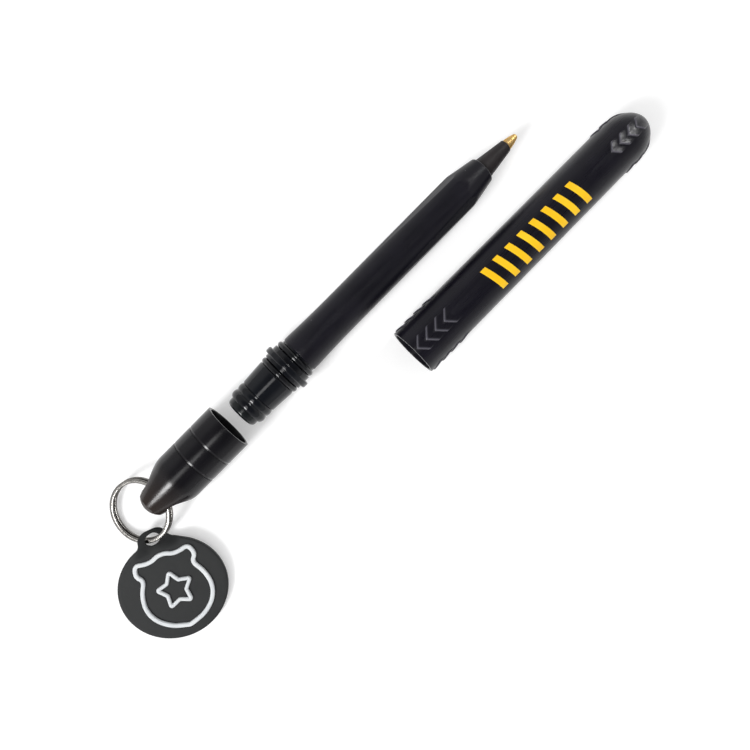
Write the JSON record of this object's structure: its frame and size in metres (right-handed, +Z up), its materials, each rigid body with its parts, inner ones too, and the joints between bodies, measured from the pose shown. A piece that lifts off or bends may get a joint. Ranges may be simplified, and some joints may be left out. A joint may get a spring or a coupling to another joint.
{
  "type": "pocket pen",
  "caption": "Pocket pen with a long domed cap, a bullet-shaped tail cap on a split ring and a soft oval tag, laid out uncapped on a flat surface.",
  "frame": {"origin": "middle of the laid-out set on the surface it lies on", "axes": "+X along the pen towards its writing tip, +Y away from the cap, +Z up"},
  "size_m": [0.1632, 0.0376, 0.0124],
  "materials": {
    "barrel_black": "smooth gloss, near black",
    "connector_black": "smooth gloss, near black",
    "plug_black": "smooth satin, near black",
    "seal_rubber": "soft black rubber",
    "holder_black": "satin brown-black",
    "point_brass": "turned brass",
    "ball_steel": "hard bright ball",
    "tube_plastic": "milky plastic",
    "ink_black": "black ink",
    "cap_black": "smooth gloss, near black",
    "tail_cap_black": "smooth gloss, near black",
    "ring_steel": "bright plated steel",
    "tag_rubber": "soft dark moulding",
    "tag_line_white": "soft white moulding"
  },
  "bodies": {
    "pen": {"barrel": "barrel_black", "tail_connector": "connector_black", "tail_plug": "plug_black", "rear_seal_ring": "seal_rubber", "front_seal_ring": "seal_rubber", "refill_tip_holder": "holder_black", "brass_point": "point_brass", "ink_tube": "tube_plastic", "ink_column": "ink_black"},
    "ball": {"writing_ball": "ball_steel"},
    "cap": {"cap_shell": "cap_black"},
    "tail_cap": {"tail_cap_shell": "tail_cap_black"},
    "ring": {"split_ring": "ring_steel"},
    "tag": {"tag_disc": "tag_rubber", "tag_shield_line": "tag_line_white", "tag_star_line": "tag_line_white"}
  },
  "joints": [
    {"name": "tail_cap_slide", "type": "slide", "parent": "pen", "child": "tail_cap", "axis": [1, 0, 0], "range_m": [0, 0.01785]},
    {"name": "cap_slide", "type": "slide", "parent": "pen", "child": "cap", "axis": [1, 0, 0], "range_m": [-0.0214, 0.053]},
    {"name": "ring_swing", "type": "hinge", "parent": "tail_cap", "child": "ring", "pos_m": [-0.05473, 0.00989, 0.006], "axis": [0, 1, 0], "range_deg": [-75, 120]},
    {"name": "tag_swing", "type": "hinge", "parent": "ring", "child": "tag", "pos_m": [-0.06416, 0.00424, 0.00267], "axis": [-0.8271, 0.445, -0.3434], "range_deg": [-60, 75]},
    {"name": "ball_roll", "type": "hinge", "parent": "pen", "child": "ball", "pos_m": [0.05867, 0.00989, 0.006], "axis": [0, 1, 0], "continuous": true}
  ]
}
